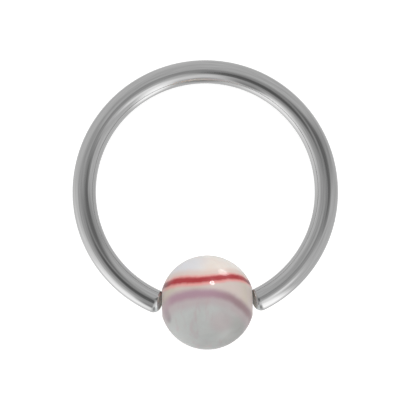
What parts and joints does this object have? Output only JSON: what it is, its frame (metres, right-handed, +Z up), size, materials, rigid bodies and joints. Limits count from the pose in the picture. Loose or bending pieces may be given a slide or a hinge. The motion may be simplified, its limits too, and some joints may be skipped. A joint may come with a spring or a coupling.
{
  "type": "captive bead ring",
  "caption": "Open steel wire hoop whose rounded ends grip a striped bead by a dimple in each of its sides. It lies on the bead and on the wire opposite.",
  "frame": {"origin": "on the floor, under the middle of the ring's box as it rests", "axes": "+X along the line between the wire's ends, about which the bead turns; +Y level, from the bead towards the wire opposite; +Z up"},
  "size_m": [0.0136, 0.0148, 0.0048],
  "materials": {
    "polished_steel": "polished surgical steel with faint draw lines along the wire",
    "striped_bead": "glossy cream and grey acrylic, with a red stripe and a lilac stripe right round it"
  },
  "bodies": {
    "ring": {"ring": "polished_steel"},
    "bead": {"bead": "striped_bead"}
  },
  "joints": [
    {"name": "bead_spin", "type": "hinge", "parent": "ring", "child": "bead", "pos_m": [0, -0.00499, 0.0024], "axis": [1, 0, 0], "continuous": true}
  ]
}
